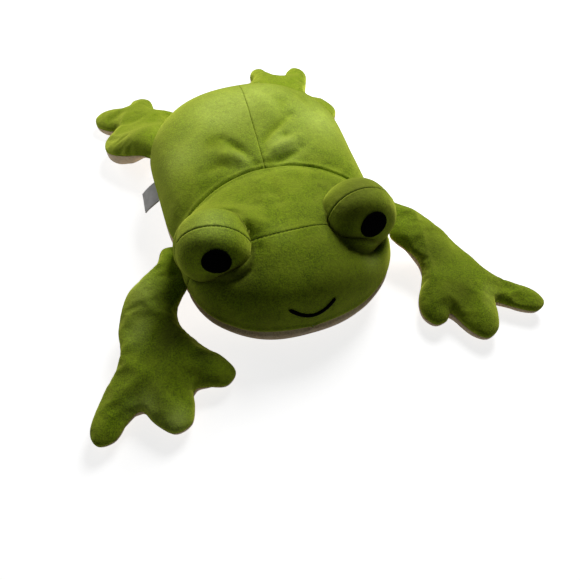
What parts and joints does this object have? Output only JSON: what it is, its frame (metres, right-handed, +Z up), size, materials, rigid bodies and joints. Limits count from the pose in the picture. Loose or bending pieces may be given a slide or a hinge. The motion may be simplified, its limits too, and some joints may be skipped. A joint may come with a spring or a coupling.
{
  "type": "stuffed toy frog",
  "caption": "Soft stuffed frog lying flat on its belly, arms and legs sprawled out flat, with domed eyes on the head and a stitched smile.",
  "frame": {"origin": "on the floor under the middle of the body, in the flat of the belly", "axes": "-Y the way the face looks, +X the frog's own left side, +Z up"},
  "size_m": [0.4187, 0.5092, 0.1058],
  "materials": {
    "green_plush": "short pile plush",
    "beige_plush": "short pile plush",
    "fibre_fill": "loose polyester fibre",
    "black_thread": "satin stitched thread",
    "white_tape": "woven tape"
  },
  "bodies": {
    "trunk": {"body_back_left": "green_plush", "body_back_right": "green_plush", "belly_panel": "beige_plush", "body_stuffing": "fibre_fill", "crown_panel": "green_plush", "face_panel": "green_plush", "chin_panel": "beige_plush", "head_stuffing": "fibre_fill", "eye_front_left": "green_plush", "eye_front_right": "green_plush", "eye_back_left": "green_plush", "eye_back_right": "green_plush", "eye_stuffing_left": "fibre_fill", "eye_stuffing_right": "fibre_fill", "pupil_left": "black_thread", "pupil_right": "black_thread", "smile": "black_thread"},
    "arm_left": {"arm_top_left": "green_plush", "arm_under_left": "beige_plush", "arm_stuffing_left": "fibre_fill"},
    "arm_right": {"arm_top_right": "green_plush", "arm_under_right": "beige_plush", "arm_stuffing_right": "fibre_fill"},
    "leg_left": {"leg_top_left": "green_plush", "leg_under_left": "beige_plush", "leg_stuffing_left": "fibre_fill"},
    "leg_right": {"leg_top_right": "green_plush", "leg_under_right": "beige_plush", "leg_stuffing_right": "fibre_fill"},
    "label": {"label": "white_tape"}
  },
  "joints": [
    {"name": "arm_flop_left", "type": "hinge", "parent": "trunk", "child": "arm_left", "pos_m": [0.10333, -0.12029, 0.04416], "axis": [-0.0877, -0.9962, 0], "range_deg": [-20, 50]},
    {"name": "arm_flop_right", "type": "hinge", "parent": "trunk", "child": "arm_right", "pos_m": [-0.10333, -0.12029, 0.04416], "axis": [-0.0877, 0.9962, 0], "range_deg": [-20, 50]},
    {"name": "leg_flop_left", "type": "hinge", "parent": "trunk", "child": "leg_left", "pos_m": [0.0933, 0.0448, 0.04251], "axis": [0.8024, -0.5968, 0], "range_deg": [-6, 45]},
    {"name": "leg_flop_right", "type": "hinge", "parent": "trunk", "child": "leg_right", "pos_m": [-0.0933, 0.0448, 0.04251], "axis": [0.8024, 0.5968, 0], "range_deg": [-6, 45]},
    {"name": "label_flap", "type": "hinge", "parent": "trunk", "child": "label", "pos_m": [-0.10833, -0.03651, 0.04629], "axis": [-0.027, 0.9996, 0], "range_deg": [0, 50]}
  ]
}
